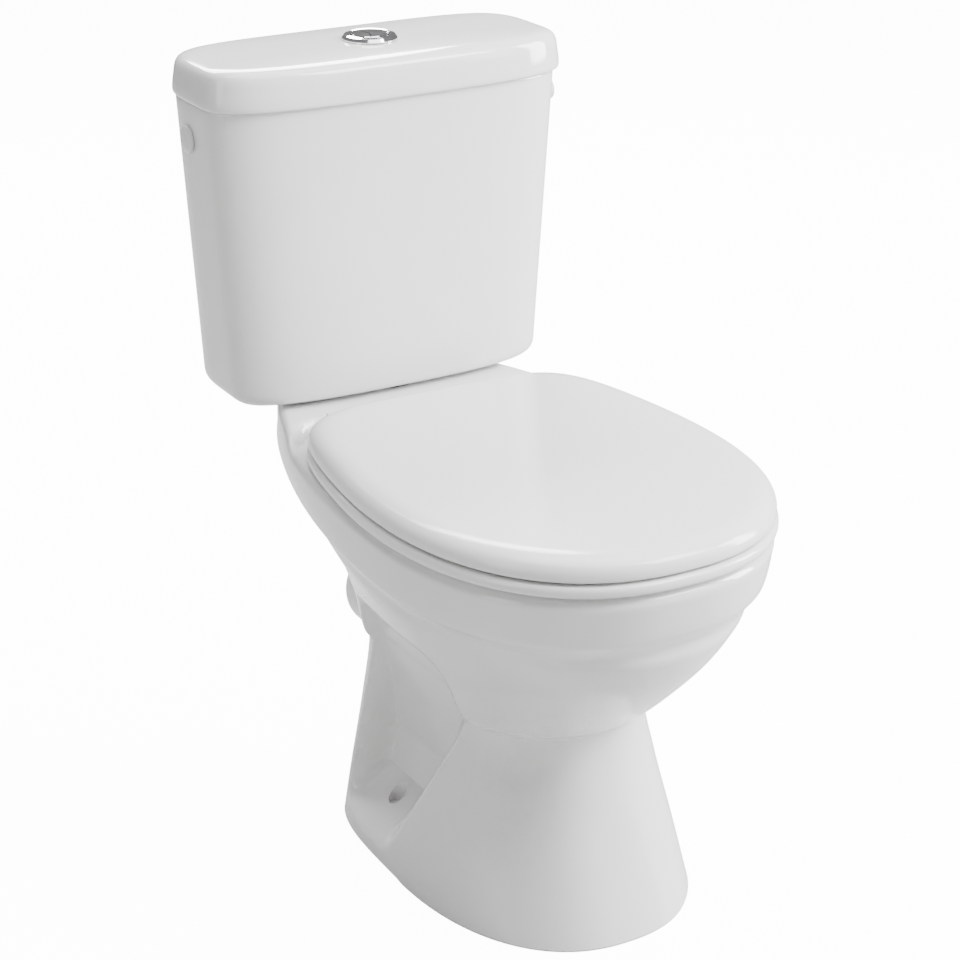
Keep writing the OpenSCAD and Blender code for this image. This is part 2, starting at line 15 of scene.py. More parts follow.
import bmesh
import bpy
import numpy as np
from mathutils import Matrix, Vector

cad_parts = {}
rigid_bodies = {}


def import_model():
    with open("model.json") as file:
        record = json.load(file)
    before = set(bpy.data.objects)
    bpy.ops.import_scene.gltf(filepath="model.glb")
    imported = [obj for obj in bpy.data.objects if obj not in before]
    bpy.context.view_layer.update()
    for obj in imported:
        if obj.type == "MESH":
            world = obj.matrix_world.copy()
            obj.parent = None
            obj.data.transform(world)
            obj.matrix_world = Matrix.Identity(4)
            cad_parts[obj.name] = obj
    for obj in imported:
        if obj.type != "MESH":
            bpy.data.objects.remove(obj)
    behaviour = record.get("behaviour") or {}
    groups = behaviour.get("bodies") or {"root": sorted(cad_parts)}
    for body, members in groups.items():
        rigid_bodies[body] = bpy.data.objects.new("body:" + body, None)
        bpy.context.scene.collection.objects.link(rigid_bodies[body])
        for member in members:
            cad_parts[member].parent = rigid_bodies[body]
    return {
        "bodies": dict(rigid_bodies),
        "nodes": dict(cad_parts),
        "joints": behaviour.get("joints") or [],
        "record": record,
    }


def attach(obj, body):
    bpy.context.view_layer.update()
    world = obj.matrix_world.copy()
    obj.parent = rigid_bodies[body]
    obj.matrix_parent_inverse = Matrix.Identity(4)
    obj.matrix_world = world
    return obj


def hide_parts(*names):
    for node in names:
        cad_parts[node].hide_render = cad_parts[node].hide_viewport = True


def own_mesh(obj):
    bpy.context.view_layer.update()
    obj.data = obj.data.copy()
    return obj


log = logging.getLogger("close_coupled_toilet")

MM = 0.001
FINE_STEPS = 700
"""Steps along a quarter of a section, from which its evenly spaced points are read."""
SHARP = 38.0
"""The angle, in degrees, from which an edge is shaded sharp unless a piece says otherwise."""
Piece = bpy.types.Object
Material = bpy.types.Material
Tree = bpy.types.NodeTree
Node = bpy.types.Node
Socket = bpy.types.NodeSocket
Ring = np.ndarray
"""An (n, 3) array of points in millimetres, in the same order on each ring of a shape."""


# ---- Shapes of the china and the seat -------------------------------------------------------


def smooth(t: np.ndarray | float) -> np.ndarray | float:
    """An S curve that is 0 up to t = 0, and 1 from t = 1."""
    u = np.clip(t, 0.0, 1.0)
    return u * u * (3.0 - 2.0 * u)


def soft_positive(t: np.ndarray, radius: float) -> np.ndarray:
    """The positive part of t, with a parabola in place of its corner, from -radius to radius."""
    return np.where(t > radius, t, np.where(t < -radius, 0.0, (t + radius) ** 2 / (4.0 * radius)))


@dataclass(frozen=True)
class Section:
    """A level section of a moulded shape: a superellipse with its own front and rear halves.

    Attributes:
        z: Height.
        half: Half width at the widest point.
        mid: Where the widest point is, front to back.
        front: Front end.
        rear: Rear end.
        n_front: Exponent of the front half. 2 is an ellipse, and more is squarer.
        n_rear: Exponent of the rear half.
        waist: Share by which it narrows towards the rear.
    """

    z: float
    half: float
    mid: float
    front: float
    rear: float
    n_front: float
    n_rear: float
    waist: float = 0.0

    def row(self) -> np.ndarray:
        """The section's values in one row, so that sections can be blended."""
        return np.array(astuple(self))

    def inset(self, d: float) -> "Section":
        """The same section drawn in by d all round."""
        return replace(self, half=self.half - d, front=self.front + d, rear=self.rear - d)


@dataclass(frozen=True)
class Profile:
    """A run of sections, with a smooth curve through them.

    Attributes:
        sections: The sections, lowest first.
        waist_from: Where, front to back, the narrowing starts.
        waist_to: Where it ends.
    """

    sections: tuple[Section, ...]
    waist_from: float = -60.0
    waist_to: float = 200.0

    def at(self, z: float) -> Section:
        """The section at a height, on a cubic curve through the given ones."""
        rows = [s.row() for s in self.sections]
        last = len(rows) - 1
        j = 0
        while j < last - 1 and z >= rows[j + 1][0]:
            j += 1

        def slope(i: int) -> np.ndarray:
            """The curve's slope at section i."""
            a, b = max(0, i - 1), min(last, i + 1)
            return (rows[b] - rows[a]) / (rows[b][0] - rows[a][0])

        h = rows[j + 1][0] - rows[j][0]
        t = (z - rows[j][0]) / h
        t2, t3 = t * t, t * t * t
        row = ((2 * t3 - 3 * t2 + 1) * rows[j] + (t3 - 2 * t2 + t) * h * slope(j)
               + (3 * t2 - 2 * t3) * rows[j + 1] + (t3 - t2) * h * slope(j + 1))
        return Section(*row)

    def waist(self, y: np.ndarray, k: float) -> np.ndarray:
        """The factor on the width at a distance y."""
        return 1.0 - k * smooth((y - self.waist_from) / (self.waist_to - self.waist_from))

    def ring(self, s: Section, z: float, front: int = 60, rear: int = 90) -> Ring:
        """The outline of a section at height z, as evenly spaced points from +X through +Y.

        Each front quarter has as many points as front says, and each rear quarter as rear says.
        """
        t = np.linspace(0.0, math.pi / 2, FINE_STEPS)
        quarters = []
        for n, end, count in ((s.n_rear, s.rear, rear), (s.n_front, s.front, front)):
            y = s.mid + (end - s.mid) * np.sin(t) ** (2.0 / n)
            x = s.half * self.waist(y, s.waist) * np.abs(np.cos(t)) ** (2.0 / n)
            run = np.concatenate([[0.0], np.cumsum(np.hypot(np.diff(x), np.diff(y)))])
            even = np.linspace(0.0, run[-1], count + 1)
            quarters.append(np.stack([np.interp(even, run, x), np.interp(even, run, y)], axis=1))
        back, nose = quarters
        flip = np.array([-1.0, 1.0])
        flat = np.concatenate([back[:-1], back[:0:-1] * flip, nose[:-1] * flip, nose[:0:-1]])
        return np.column_stack([flat, np.full(len(flat), z)])


def lerp(a: Ring, b: Ring, t: float) -> Ring:
    """The ring a share t of the way from a to b."""
    return a + (b - a) * t


def arc(steps: int) -> list[float]:
    """Angles from just above 0 to 90 degrees, for rounding an edge in the given steps."""
    return [math.pi / 2 * i / steps for i in range(1, steps + 1)]


# ---- Mesh making -------------------------------------------------------------------------------


def to_object(name: str, mesh: bpy.types.Mesh) -> Piece:
    """Puts a mesh in the scene as an object at the origin."""
    piece = bpy.data.objects.new(name, mesh)
    bpy.context.scene.collection.objects.link(piece)
    return piece


def from_bmesh(name: str, bm: bmesh.types.BMesh) -> Piece:
    """Makes an object of a bmesh in millimetres, and frees the bmesh."""
    bmesh.ops.scale(bm, vec=(MM, MM, MM), verts=bm.verts)
    mesh = bpy.data.meshes.new(name)
    bm.to_mesh(mesh)
    bm.free()
    return to_object(name, mesh)


def skin(name: str, rings: Sequence[Ring], ends: tuple[Sequence[float], Sequence[float]] | None,
         slots: Callable[[int], int] | None = None) -> Piece:
    """A closed surface through rings that have the same number of points each.

    The first ring is the lowest of the outside. ends are the points that close the first and the
    last ring, or None to join the last ring to the first. slots gives the material slot of the
    faces above ring number j.
    """
    n, m = len(rings[0]), len(rings)
    slots = slots or (lambda j: 0)
    bm = bmesh.new()
    verts = [bm.verts.new(p) for ring in rings for p in ring]
    for j in range(m if ends is None else m - 1):
        up = (j + 1) % m
        for i in range(n):
            k = (i + 1) % n
            face = bm.faces.new((verts[j * n + i], verts[j * n + k], verts[up * n + k],
                                 verts[up * n + i]))
            face.material_index = slots(j)
    if ends is not None:
        first, last = (bm.verts.new(p) for p in ends)
        top = (m - 1) * n
        for i in range(n):
            k = (i + 1) % n
            bm.faces.new((first, verts[k], verts[i])).material_index = slots(0)
            bm.faces.new((last, verts[top + i], verts[top + k])).material_index = slots(m - 1)
    return from_bmesh(name, bm)


def lathe(name: str, profile: Sequence[tuple[float, float]], steps: int = 64,
          axis: str = "z", at: Sequence[float] = (0.0, 0.0, 0.0)) -> Piece:
    """A closed profile of (radius, height) points turned about an axis through a point.

    The points run anticlockwise with the radius to the right and the height up. The height runs
    along the axis: x, y or z.
    """
    turns = np.linspace(0.0, 2.0 * math.pi, steps, endpoint=False)
    rings = []
    for r, h in profile:
        c, s, up = r * np.cos(turns), r * np.sin(turns), np.full(steps, h)
        columns = {"z": (c, s, up), "x": (up, c, s), "y": (s, up, c)}[axis]
        rings.append(np.column_stack(columns) + np.asarray(at))
    if profile[0][0] > 0.0:
        return skin(name, rings, None)
    first, last = (ring.mean(axis=0) for ring in (rings[0], rings[-1]))
    return skin(name, rings[1:-1], (first, last))


def rounded(points: Sequence[tuple[float, float, float]], steps: int = 4
            ) -> list[tuple[float, float]]:
    """A closed polygon, given as (x, y, radius) of each corner, with its corners rounded."""
    out: list[tuple[float, float]] = []
    count = len(points)
    for i, (x, y, r) in enumerate(points):
        if r <= 0.0:
            out.append((x, y))
            continue
        here = Vector((x, y))
        before = Vector(points[i - 1][:2]) - here
        after = Vector(points[(i + 1) % count][:2]) - here
        start = here + before.normalized() * min(r, before.length / 2)
        end = here + after.normalized() * min(r, after.length / 2)
        for s in range(steps + 1):
            t = s / steps
            p = start * (1 - t) ** 2 + here * 2 * t * (1 - t) + end * t * t
            out.append((p.x, p.y))
    return out


def slab(name: str, outline: Sequence[tuple[float, float]], start: float, end: float,
         axis: str = "z", bevel: float = 0.0) -> Piece:
    """A flat outline pulled from start to end along an axis, with its sharp edges bevelled.

    The outline's points are (x, y) for axis z, (y, z) for axis x and (z, x) for axis y.
    """
    bm = bmesh.new()
    order = {"z": (0, 1, 2), "x": (2, 0, 1), "y": (1, 2, 0)}[axis]
    verts = []
    for u, v in outline:
        p = (u, v, start)
        verts.append(bm.verts.new([p[i] for i in order]))
    base = bm.faces.new(verts)
    pulled = bmesh.ops.extrude_face_region(bm, geom=[base])
    move = Vector([(0.0, 0.0, end - start)[i] for i in order])
    bmesh.ops.translate(bm, vec=move,
                        verts=[g for g in pulled["geom"] if isinstance(g, bmesh.types.BMVert)])
    bmesh.ops.recalc_face_normals(bm, faces=bm.faces)
    if bevel > 0.0:
        edges = [e for e in bm.edges if e.calc_face_angle(0.0) > math.radians(60)]
        bmesh.ops.bevel(bm, geom=edges, offset=bevel, segments=3, profile=0.5, affect="EDGES")
    return from_bmesh(name, bm)


def box(name: str, low: Sequence[float], high: Sequence[float], bevel: float = 0.0
        ) -> Piece:
    """A block between two corners."""
    outline = [(low[0], low[1]), (high[0], low[1]), (high[0], high[1]), (low[0], high[1])]
    return slab(name, outline, low[2], high[2], "z", bevel)


def tube_along(name: str, path: Sequence[tuple[float, float]], r: float, steps: int = 48
               ) -> Piece:
    """A round bar through (y, z) points in the middle plane, on a smooth curve."""
    points = np.array(path, dtype=float)
    at = np.arange(len(points), dtype=float)
    fine = np.linspace(0.0, at[-1], 8 * len(points))
    curve = np.empty((len(fine), 2))
    for n, t in enumerate(fine):
        j = min(int(t), len(points) - 2)
        u = t - j
        p = [points[min(max(j + d, 0), len(points) - 1)] for d in (-1, 0, 1, 2)]
        curve[n] = 0.5 * (2 * p[1] + (p[2] - p[0]) * u
                          + (2 * p[0] - 5 * p[1] + 4 * p[2] - p[3]) * u * u
                          + (3 * p[1] - p[0] - 3 * p[2] + p[3]) * u ** 3)
    along = np.gradient(curve, axis=0)
    along /= np.linalg.norm(along, axis=1)[:, None]
    turns = -np.linspace(0.0, 2.0 * math.pi, steps, endpoint=False)
    rings = [np.column_stack([r * np.cos(turns), c[0] - r * np.sin(turns) * d[1],
                              c[1] + r * np.sin(turns) * d[0]]) for c, d in zip(curve, along)]
    ends = tuple((0.0, *curve[i]) for i in (0, -1))
    return skin(name, rings, ends)


def join(name: str, pieces: Sequence[Piece]) -> Piece:
    """Makes one object of several, and removes them. The first one's materials are kept."""
    bm = bmesh.new()
    for piece in pieces:
        bm.from_mesh(piece.data)
    mesh = bpy.data.meshes.new(name)
    bm.to_mesh(mesh)
    bm.free()
    for material in pieces[0].data.materials:
        mesh.materials.append(material)
    for piece in pieces:
        bpy.data.objects.remove(piece, do_unlink=True)
    return to_object(name, mesh)


def carved(piece: Piece, cutters: Sequence[Piece]) -> Piece:
    """Takes the cutters out of a piece, one exact cut at a time, and removes them."""
    name = piece.name
    for cutter in cutters:
        cut = piece.modifiers.new("cut", "BOOLEAN")
        cut.operation, cut.solver, cut.object = "DIFFERENCE", "EXACT", cutter
        done = bpy.data.meshes.new_from_object(
            piece.evaluated_get(bpy.context.evaluated_depsgraph_get()))
        bpy.data.objects.remove(piece, do_unlink=True)
        bpy.data.objects.remove(cutter, do_unlink=True)
        piece = to_object(name, done)
    return piece


def soften(piece: Piece, sharp: float = SHARP) -> None:
    """Shades a piece smooth, except over edges sharper than an angle in degrees."""
    bm = bmesh.new()
    bm.from_mesh(piece.data)
    bmesh.ops.remove_doubles(bm, verts=bm.verts, dist=1e-6)
    for face in bm.faces:
        face.smooth = True
    for edge in bm.edges:
        edge.smooth = edge.calc_face_angle(0.0) < math.radians(sharp)
    bm.to_mesh(piece.data)
    bm.free()


# ---- Finishes ------------------------------------------------------------------------------------


class Effect(Enum):
    """The surface effects that several finishes share."""

    UNEVEN = "uneven surface"
    MOTTLE = "mottled tone"
    POLISH = "polishing marks"


def node_tree(name: str, kind: str, inputs: dict[str, str | float], outputs: dict[str, str]
              ) -> tuple[Tree, Node, Node]:
    """A node tree with its sockets. An input given as a number is a float with that default.

    Returns:
        The tree, its input node and its output node.
    """
    tree = bpy.data.node_groups.new(name, kind)
    for label, value in inputs.items():
        what = "Float" if isinstance(value, float) else value
        socket = tree.interface.new_socket(label, in_out="INPUT", socket_type="NodeSocket" + what)
        if isinstance(value, float):
            socket.default_value = value
    for label, what in outputs.items():
        tree.interface.new_socket(label, in_out="OUTPUT", socket_type="NodeSocket" + what)
    return tree, tree.nodes.new("NodeGroupInput"), tree.nodes.new("NodeGroupOutput")


def maths(tree: Tree, operation: str, *values: Socket | float) -> Socket:
    """The result of a maths node on sockets and numbers."""
    node = tree.nodes.new("ShaderNodeMath")
    node.operation = operation
    for socket, value in zip(node.inputs, values):
        if isinstance(value, Socket):
            tree.links.new(value, socket)
        else:
            socket.default_value = value
    return node.outputs[0]


class EffectLibrary:
    """Builds each shared effect once, as a shader node group."""

    def __init__(self) -> None:
        """Starts with no group built."""
        self._built: dict[Effect, Tree] = {}

    def get(self, effect: Effect) -> Tree:
        """The node group of an effect, built on its first use."""
        if effect not in self._built:
            maker = {Effect.UNEVEN: self._uneven, Effect.MOTTLE: self._mottle,
                     Effect.POLISH: self._polish}[effect]
            self._built[effect] = maker()
        return self._built[effect]

    @staticmethod
    def _noise(tree: Tree, source: Node, factor: float, detail: float, rough: float = 0.5) -> Node:
        """A noise at a multiple of the group's Scale input."""
        noise = tree.nodes.new("ShaderNodeTexNoise")
        noise.inputs["Detail"].default_value = detail
        noise.inputs["Roughness"].default_value = rough
        scale = maths(tree, "MULTIPLY", source.outputs["Scale"], factor)
        tree.links.new(scale, noise.inputs["Scale"])
        tree.links.new(source.outputs["Position"], noise.inputs["Vector"])
        return noise

    def _uneven(self) -> Tree:
        """Long soft waves with a fine texture over them, as a height."""
        tree, source, sink = node_tree(
            "uneven surface", "ShaderNodeTree",
            {"Position": "Vector", "Scale": 14.0, "Fine": 0.15}, {"Height": "Float"})
        wave = self._noise(tree, source, 1.0, 1.0)
        fine = self._noise(tree, source, 28.0, 2.0)
        height = maths(tree, "MULTIPLY_ADD", fine.outputs["Fac"], source.outputs["Fine"],
                       wave.outputs["Fac"])
        tree.links.new(height, sink.inputs["Height"])
        return tree

    def _mottle(self) -> Tree:
        """Two tones blended in soft clouds, and the mask that blends them."""
        tree, source, sink = node_tree(
            "mottled tone", "ShaderNodeTree",
            {"Position": "Vector", "Scale": 9.0, "Contrast": 1.0, "Tone A": "Color",
             "Tone B": "Color"}, {"Color": "Color", "Mask": "Float"})
        link = tree.links.new
        cloud = self._noise(tree, source, 1.0, 4.0, 0.55)
        centred = maths(tree, "SUBTRACT", cloud.outputs["Fac"], 0.5)
        mask = maths(tree, "MULTIPLY_ADD", centred, source.outputs["Contrast"], 0.5)
        mask.node.use_clamp = True
        mix = tree.nodes.new("ShaderNodeMix")
        mix.data_type = "RGBA"
        link(mask, mix.inputs["Factor"])
        link(mask, sink.inputs["Mask"])
        for socket, label in ((6, "Tone A"), (7, "Tone B")):
            link(source.outputs[label], mix.inputs[socket])
        link(next(s for s in mix.outputs if s.type == "RGBA"), sink.inputs["Color"])
        return tree

    def _polish(self) -> Tree:
        """Fine marks stretched one way, as a roughness and a height."""
        tree, source, sink = node_tree(
            "polishing marks", "ShaderNodeTree",
            {"Position": "Vector", "Scale": 60.0, "Low": 0.05, "High": 0.12},
            {"Roughness": "Float", "Height": "Float"})
        link = tree.links.new
        stretch = tree.nodes.new("ShaderNodeMapping")
        stretch.inputs["Scale"].default_value = (1.0, 1.0, 14.0)
        link(source.outputs["Position"], stretch.inputs["Vector"])
        marks = self._noise(tree, source, 1.0, 5.0, 0.6)
        link(stretch.outputs[0], marks.inputs["Vector"])
        spread = tree.nodes.new("ShaderNodeMapRange")
        spread.inputs["From Min"].default_value = 0.3
        spread.inputs["From Max"].default_value = 0.7
        link(marks.outputs["Fac"], spread.inputs["Value"])
        link(source.outputs["Low"], spread.inputs["To Min"])
        link(source.outputs["High"], spread.inputs["To Max"])
        link(spread.outputs["Result"], sink.inputs["Roughness"])
        link(marks.outputs["Fac"], sink.inputs["Height"])
        return tree


@dataclass(frozen=True)
class Finish:
    """What a surface is made of, and how it is built as a material.

    Attributes:
        name: The material's name.
        tone: Its main colour.
        tone_b: The colour that it clouds towards.
        rough: Roughness at its smoothest.
        rough_b: Roughness at its dullest.
        metallic: 1 for a metal.
        coat: Weight of a clear coat, such as a glaze.
        coat_rough: Roughness of the clear coat.
        ior: Index of refraction.
        cloud: Scale of the colour clouds, per metre.
        wave: Scale of the surface's waves, per metre.
        fine: Share of fine texture over the waves.
        relief: Height of the waves, in metres.
        subsurface: Weight of light under the surface.
        polished: Whether its roughness comes from polishing marks.
    """

    name: str
    tone: tuple[float, float, float]
    tone_b: tuple[float, float, float]
    rough: float
    rough_b: float
    metallic: float = 0.0
    coat: float = 0.0
    coat_rough: float = 0.03
    ior: float = 1.5
    cloud: float = 9.0
    wave: float = 14.0
    fine: float = 0.1
    relief: float = 0.0002
    subsurface: float = 0.0
    polished: bool = False

    def build(self, effects: EffectLibrary) -> Material:
        """Makes the material, from the shared effects and the values above."""
        material = bpy.data.materials.new(self.name)
        material.use_nodes = True
        nodes, links = material.node_tree.nodes, material.node_tree.links
        shader = nodes["Principled BSDF"]
        for label, value in (("Metallic", self.metallic), ("IOR", self.ior),
                             ("Coat Weight", self.coat), ("Coat Roughness", self.coat_rough),
                             ("Subsurface Weight", self.subsurface),
                             ("Subsurface Radius", (0.004, 0.004, 0.003))):
            shader.inputs[label].default_value = value
        where = nodes.new("ShaderNodeTexCoord")

        def place(effect: Effect, **values: float | tuple[float, ...]) -> Node:
            """A shared effect in this material, with its own values."""
            node = nodes.new("ShaderNodeGroup")
            node.node_tree = effects.get(effect)
            links.new(where.outputs["Object"], node.inputs["Position"])
            for label, value in values.items():
                node.inputs[label].default_value = value
            return node

        mottle = place(Effect.MOTTLE, Scale=self.cloud, Contrast=2.0,
                       **{"Tone A": (*self.tone, 1.0), "Tone B": (*self.tone_b, 1.0)})
        links.new(mottle.outputs["Color"], shader.inputs["Base Color"])
        if self.polished:
            marks = place(Effect.POLISH, Low=self.rough, High=self.rough_b)
            links.new(marks.outputs["Roughness"], shader.inputs["Roughness"])
        else:
            spread = nodes.new("ShaderNodeMapRange")
            spread.inputs["To Min"].default_value = self.rough
            spread.inputs["To Max"].default_value = self.rough_b
            links.new(mottle.outputs["Mask"], spread.inputs["Value"])
            links.new(spread.outputs["Result"], shader.inputs["Roughness"])
        uneven = place(Effect.UNEVEN, Scale=self.wave, Fine=self.fine)
        bump = nodes.new("ShaderNodeBump")
        bump.inputs["Distance"].default_value = self.relief
        links.new(uneven.outputs["Height"], bump.inputs["Height"])
        links.new(bump.outputs["Normal"], shader.inputs["Normal"])
        return material


class Finishes(Enum):
    """The finishes that the toilet has."""

    GLAZE = Finish("white glaze", (0.80, 0.80, 0.79), (0.77, 0.77, 0.765), 0.09, 0.13, coat=0.35,
                   ior=1.52, cloud=5.0, wave=9.0, fine=0.03, relief=0.0006, subsurface=0.05)
    BISCUIT = Finish("unglazed china", (0.74, 0.71, 0.65), (0.66, 0.62, 0.56), 0.7, 0.9,
                     cloud=40.0, wave=90.0, fine=0.6, relief=0.0004)
    SEAT = Finish("white seat plastic", (0.81, 0.81, 0.80), (0.79, 0.79, 0.785), 0.14, 0.2,
                  ior=1.54, cloud=6.0, wave=22.0, fine=0.05, relief=0.00025, subsurface=0.08)
    WHITE = Finish("white moulded plastic", (0.78, 0.78, 0.77), (0.74, 0.74, 0.73), 0.25, 0.36,
                   cloud=30.0, wave=160.0, fine=0.4, relief=0.0001)
    GREY = Finish("grey moulded plastic", (0.42, 0.43, 0.44), (0.38, 0.39, 0.40), 0.35, 0.5,
                  cloud=40.0, wave=200.0, fine=0.5, relief=0.00015)
    BLUE = Finish("blue moulded plastic", (0.03, 0.12, 0.32), (0.025, 0.10, 0.27), 0.35, 0.5,
                  cloud=40.0, wave=200.0, fine=0.5, relief=0.00015)
    RUBBER = Finish("black rubber", (0.02, 0.02, 0.02), (0.035, 0.034, 0.033), 0.6, 0.8,
                    cloud=80.0, wave=260.0, fine=0.6, relief=0.0002)
    CHROME = Finish("bright chrome", (0.80, 0.81, 0.83), (0.76, 0.77, 0.79), 0.05, 0.12,
                    metallic=1.0, cloud=20.0, wave=60.0, fine=0.1, relief=0.00004,
                    polished=True)
    ZINC = Finish("zinc plated steel", (0.52, 0.52, 0.50), (0.42, 0.41, 0.38), 0.3, 0.5,
                  metallic=1.0, cloud=120.0, wave=300.0, fine=0.4, relief=0.00008,
                  polished=True)


class Palette:
    """Makes each finish's material once, and puts it on pieces."""

    def __init__(self) -> None:
        """Starts with no material made."""
        self._effects = EffectLibrary()
        self._made: dict[Finishes, Material] = {}

    def material(self, finish: Finishes) -> Material:
        """The material of a finish."""
        if finish not in self._made:
            self._made[finish] = finish.value.build(self._effects)
        return self._made[finish]

    def dress(self, piece: Piece, *finishes: Finishes) -> None:
        """Puts finishes in a piece's material slots, in order."""
        piece.data.materials.clear()
        for finish in finishes:
            piece.data.materials.append(self.material(finish))


@dataclass
class Workshop:
    """What every sub-assembly needs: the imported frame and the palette.

    Attributes:
        palette: The materials.
    """

    frame: dict
    palette: Palette = field(default_factory=Palette)

    def add(self, piece: Piece, body: str, slot: str, finish: Finishes | tuple,
            replaces: Sequence[str] = (), sharp: float = SHARP) -> None:
        """Finishes a new piece: its shading, materials, body and the nodes it stands for.

        Args:
            piece: The piece.
            body: The body that it rides on.
            slot: The record's material slot. It is not used.
            finish: Its finish, or one for each of its material slots.
            replaces: The CAD nodes that it stands for.
            sharp: The angle, in degrees, from which an edge stays sharp.
        """
        soften(piece, sharp)
        self.palette.dress(piece, *(finish if isinstance(finish, tuple) else (finish,)))
        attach(piece, body)
        if replaces:
            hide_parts(*replaces)
        log.info("%s: %d faces on %s", piece.name, len(piece.data.polygons), body)

    def keep(self, finish: Finishes, *nodes: str) -> None:
        """Gives CAD nodes that stay as they are a finish."""
        for node in nodes:
            piece = self.frame["nodes"][node]
            material = self.palette.material(finish)
            if piece.material_slots:
                for slot in piece.material_slots:
                    slot.material = material
            else:
                piece.data.materials.append(material)
            log.info("%s: kept, %s", node, finish.value.name)


# ---- Sub-assemblies -------------------------------------------------------------------------------


@dataclass
class Pan:
    """The glazed china pan.

    Attributes:
        rim: Height of the rim.
        platform: How far the cistern platform stands above the rim.
        edge: Radius of the rim's outer edge.
        wall: Thickness of the china over the hollow underneath.
        outlet: Height of the outlet.
        spigot_r: Outside radius of the outlet spigot.
        spigot_end: Where the spigot ends.
        outside: The outside, from the foot to the rim.
        bowl: The inside of the bowl.
        mouth: The bowl's mouth at the rim.
        trap: The middle of the water's way from the sump to the outlet, as (y, z).
        web_heights: Heights at which the half width of the web between the side recesses is set.
        web_halves: The half widths there.
        recess_rear: Where the side recesses end, front to back.
        ramp: Where the top face starts to rise to the platform, and over what length.
        lip: Radius of the rim's edge over the bowl.
        fixing_x: Distance of each floor fixing hole from the middle.
    """

    rim: float = 394.0
    platform: float = 15.0
    edge: float = 9.0
    wall: float = 14.0
    outlet: float = 182.0
    spigot_r: float = 51.0
    spigot_end: float = 197.0
    outside: Profile = Profile((
        Section(0, 139, -72, -281, 112, 2.3, 4, 0.06),
        Section(60, 128.5, -75, -254, 105, 2.3, 4, 0.02),
        Section(130, 112.5, -79, -229, 107, 2.3, 4, 0.03),
        Section(190, 102.5, -84, -219, 114, 2.2, 4, 0.1),
        Section(204, 112.5, -86, -235, 118, 2.2, 4, 0.14),
        Section(240, 124, -93, -274, 138, 2.2, 4, 0.25),
        Section(280, 144.5, -103, -310.5, 178, 2.2, 4, 0.36),
        Section(315, 162, -113, -332, 217, 2.2, 4.4, 0.32),
        Section(330, 165.5, -117, -333, 242, 2.3, 3.8, 0.26),
        Section(338, 171.5, -119, -337.5, 262, 2.3, 3.3, 0.2),
        Section(348, 179.5, -120, -344, 272, 2.3, 3.5, 0.23),
        Section(385, 183.5, -120, -353, 288, 2.3, 2.5, 0.11)), -117.0, 288.0)
    bowl: Profile = Profile((
        Section(112, 26, -52, -84, -22, 2.2, 2.4),
        Section(125, 40, -54, -106, -8, 2.2, 2.4),
        Section(150, 47, -62, -135, -6, 2.2, 2.4),
        Section(180, 58, -78, -172, -4, 2.2, 2.4),
        Section(215, 76, -95, -212, 4, 2.2, 2.5),
        Section(250, 98, -112, -250, 16, 2.2, 2.5),
        Section(290, 121, -128, -288, 28, 2.2, 2.6),
        Section(330, 135, -138, -312, 38, 2.2, 2.6),
        Section(350, 137, -140, -316, 40, 2.2, 2.6)))
    mouth: Section = Section(394, 121, -140, -300, 28, 2.2, 2.6)
    trap: tuple[tuple[float, float], ...] = ((-48, 146), (-12, 146), (22, 162), (48, 195),
                                             (74, 224), (102, 224), (126, 202), (150, 182))
    web_heights: tuple[float, ...] = (0, 12, 20, 40, 60, 100, 150, 200, 222, 238, 270, 340)
    web_halves: tuple[float, ...] = (150, 146, 132, 104, 80, 71, 76, 84, 90, 98, 136, 215)
    recess_rear: float = 60.0
    ramp: tuple[float, float] = (80.0, 48.0)
    lip: float = 6.0
    fixing_x: float = 95.0

    def web(self, z: float) -> float:
        """Half width of the web inside the side recesses."""
        return float(np.interp(z, self.web_heights, self.web_halves))

    def recessed(self, ring: Ring, web: float, front: float, rear: float) -> Ring:
        """Draws a ring in to the web between the recess's front and rear."""
        x, y = np.abs(ring[:, 0]), ring[:, 1]
        depth = soft_positive(x - web, 5.0)
        depth = depth * smooth((y - front) / 34.0) * smooth((rear - y) / 16.0)
        out = ring.copy()
        out[:, 0] = np.sign(ring[:, 0]) * (x - depth)
        return out

    def outer(self, z: float) -> Ring:
        """The pan's outside at a height."""
        front = -150.0 + (200.0 - min(z, 200.0)) * 0.54
        ring = self.outside.ring(self.outside.at(z), z)
        return self.recessed(ring, self.web(z), front, self.recess_rear)

    def underneath(self, share: float) -> Ring:
        """The hollow's wall at a share of its height, which is greater at the front."""
        foot = self.outside.ring(self.outside.sections[0], 0.0)
        top = 85.0 + 80.0 * smooth((-95.0 - foot[:, 1]) / 90.0)
        out = foot.copy()
        for height in np.unique(np.round(top * share, 0)):
            here = np.abs(np.round(top * share, 0) - height) < 0.5
            ring = self.outside.ring(self.outside.at(float(height)).inset(self.wall), 0.0)
            out[here] = ring[here]
        out[:, 2] = top * share
        inner = max(58.0, min(self.web(60.0), 80.0) - self.wall)
        return self.recessed(out, inner, -88.0, 74.0)

    def lifted(self, ring: Ring, seat: "Seat") -> Ring:
        """Raises a ring of the top face where the cistern stands, behind the seat."""
        start, length = self.ramp
        rise = self.platform * smooth((ring[:, 1] - start) / length)
        rise = rise * smooth((seat.reach(ring[:, 0], ring[:, 1]) - 1.0) / 0.03)
        out = ring.copy()
        out[:, 2] += rise
        return out

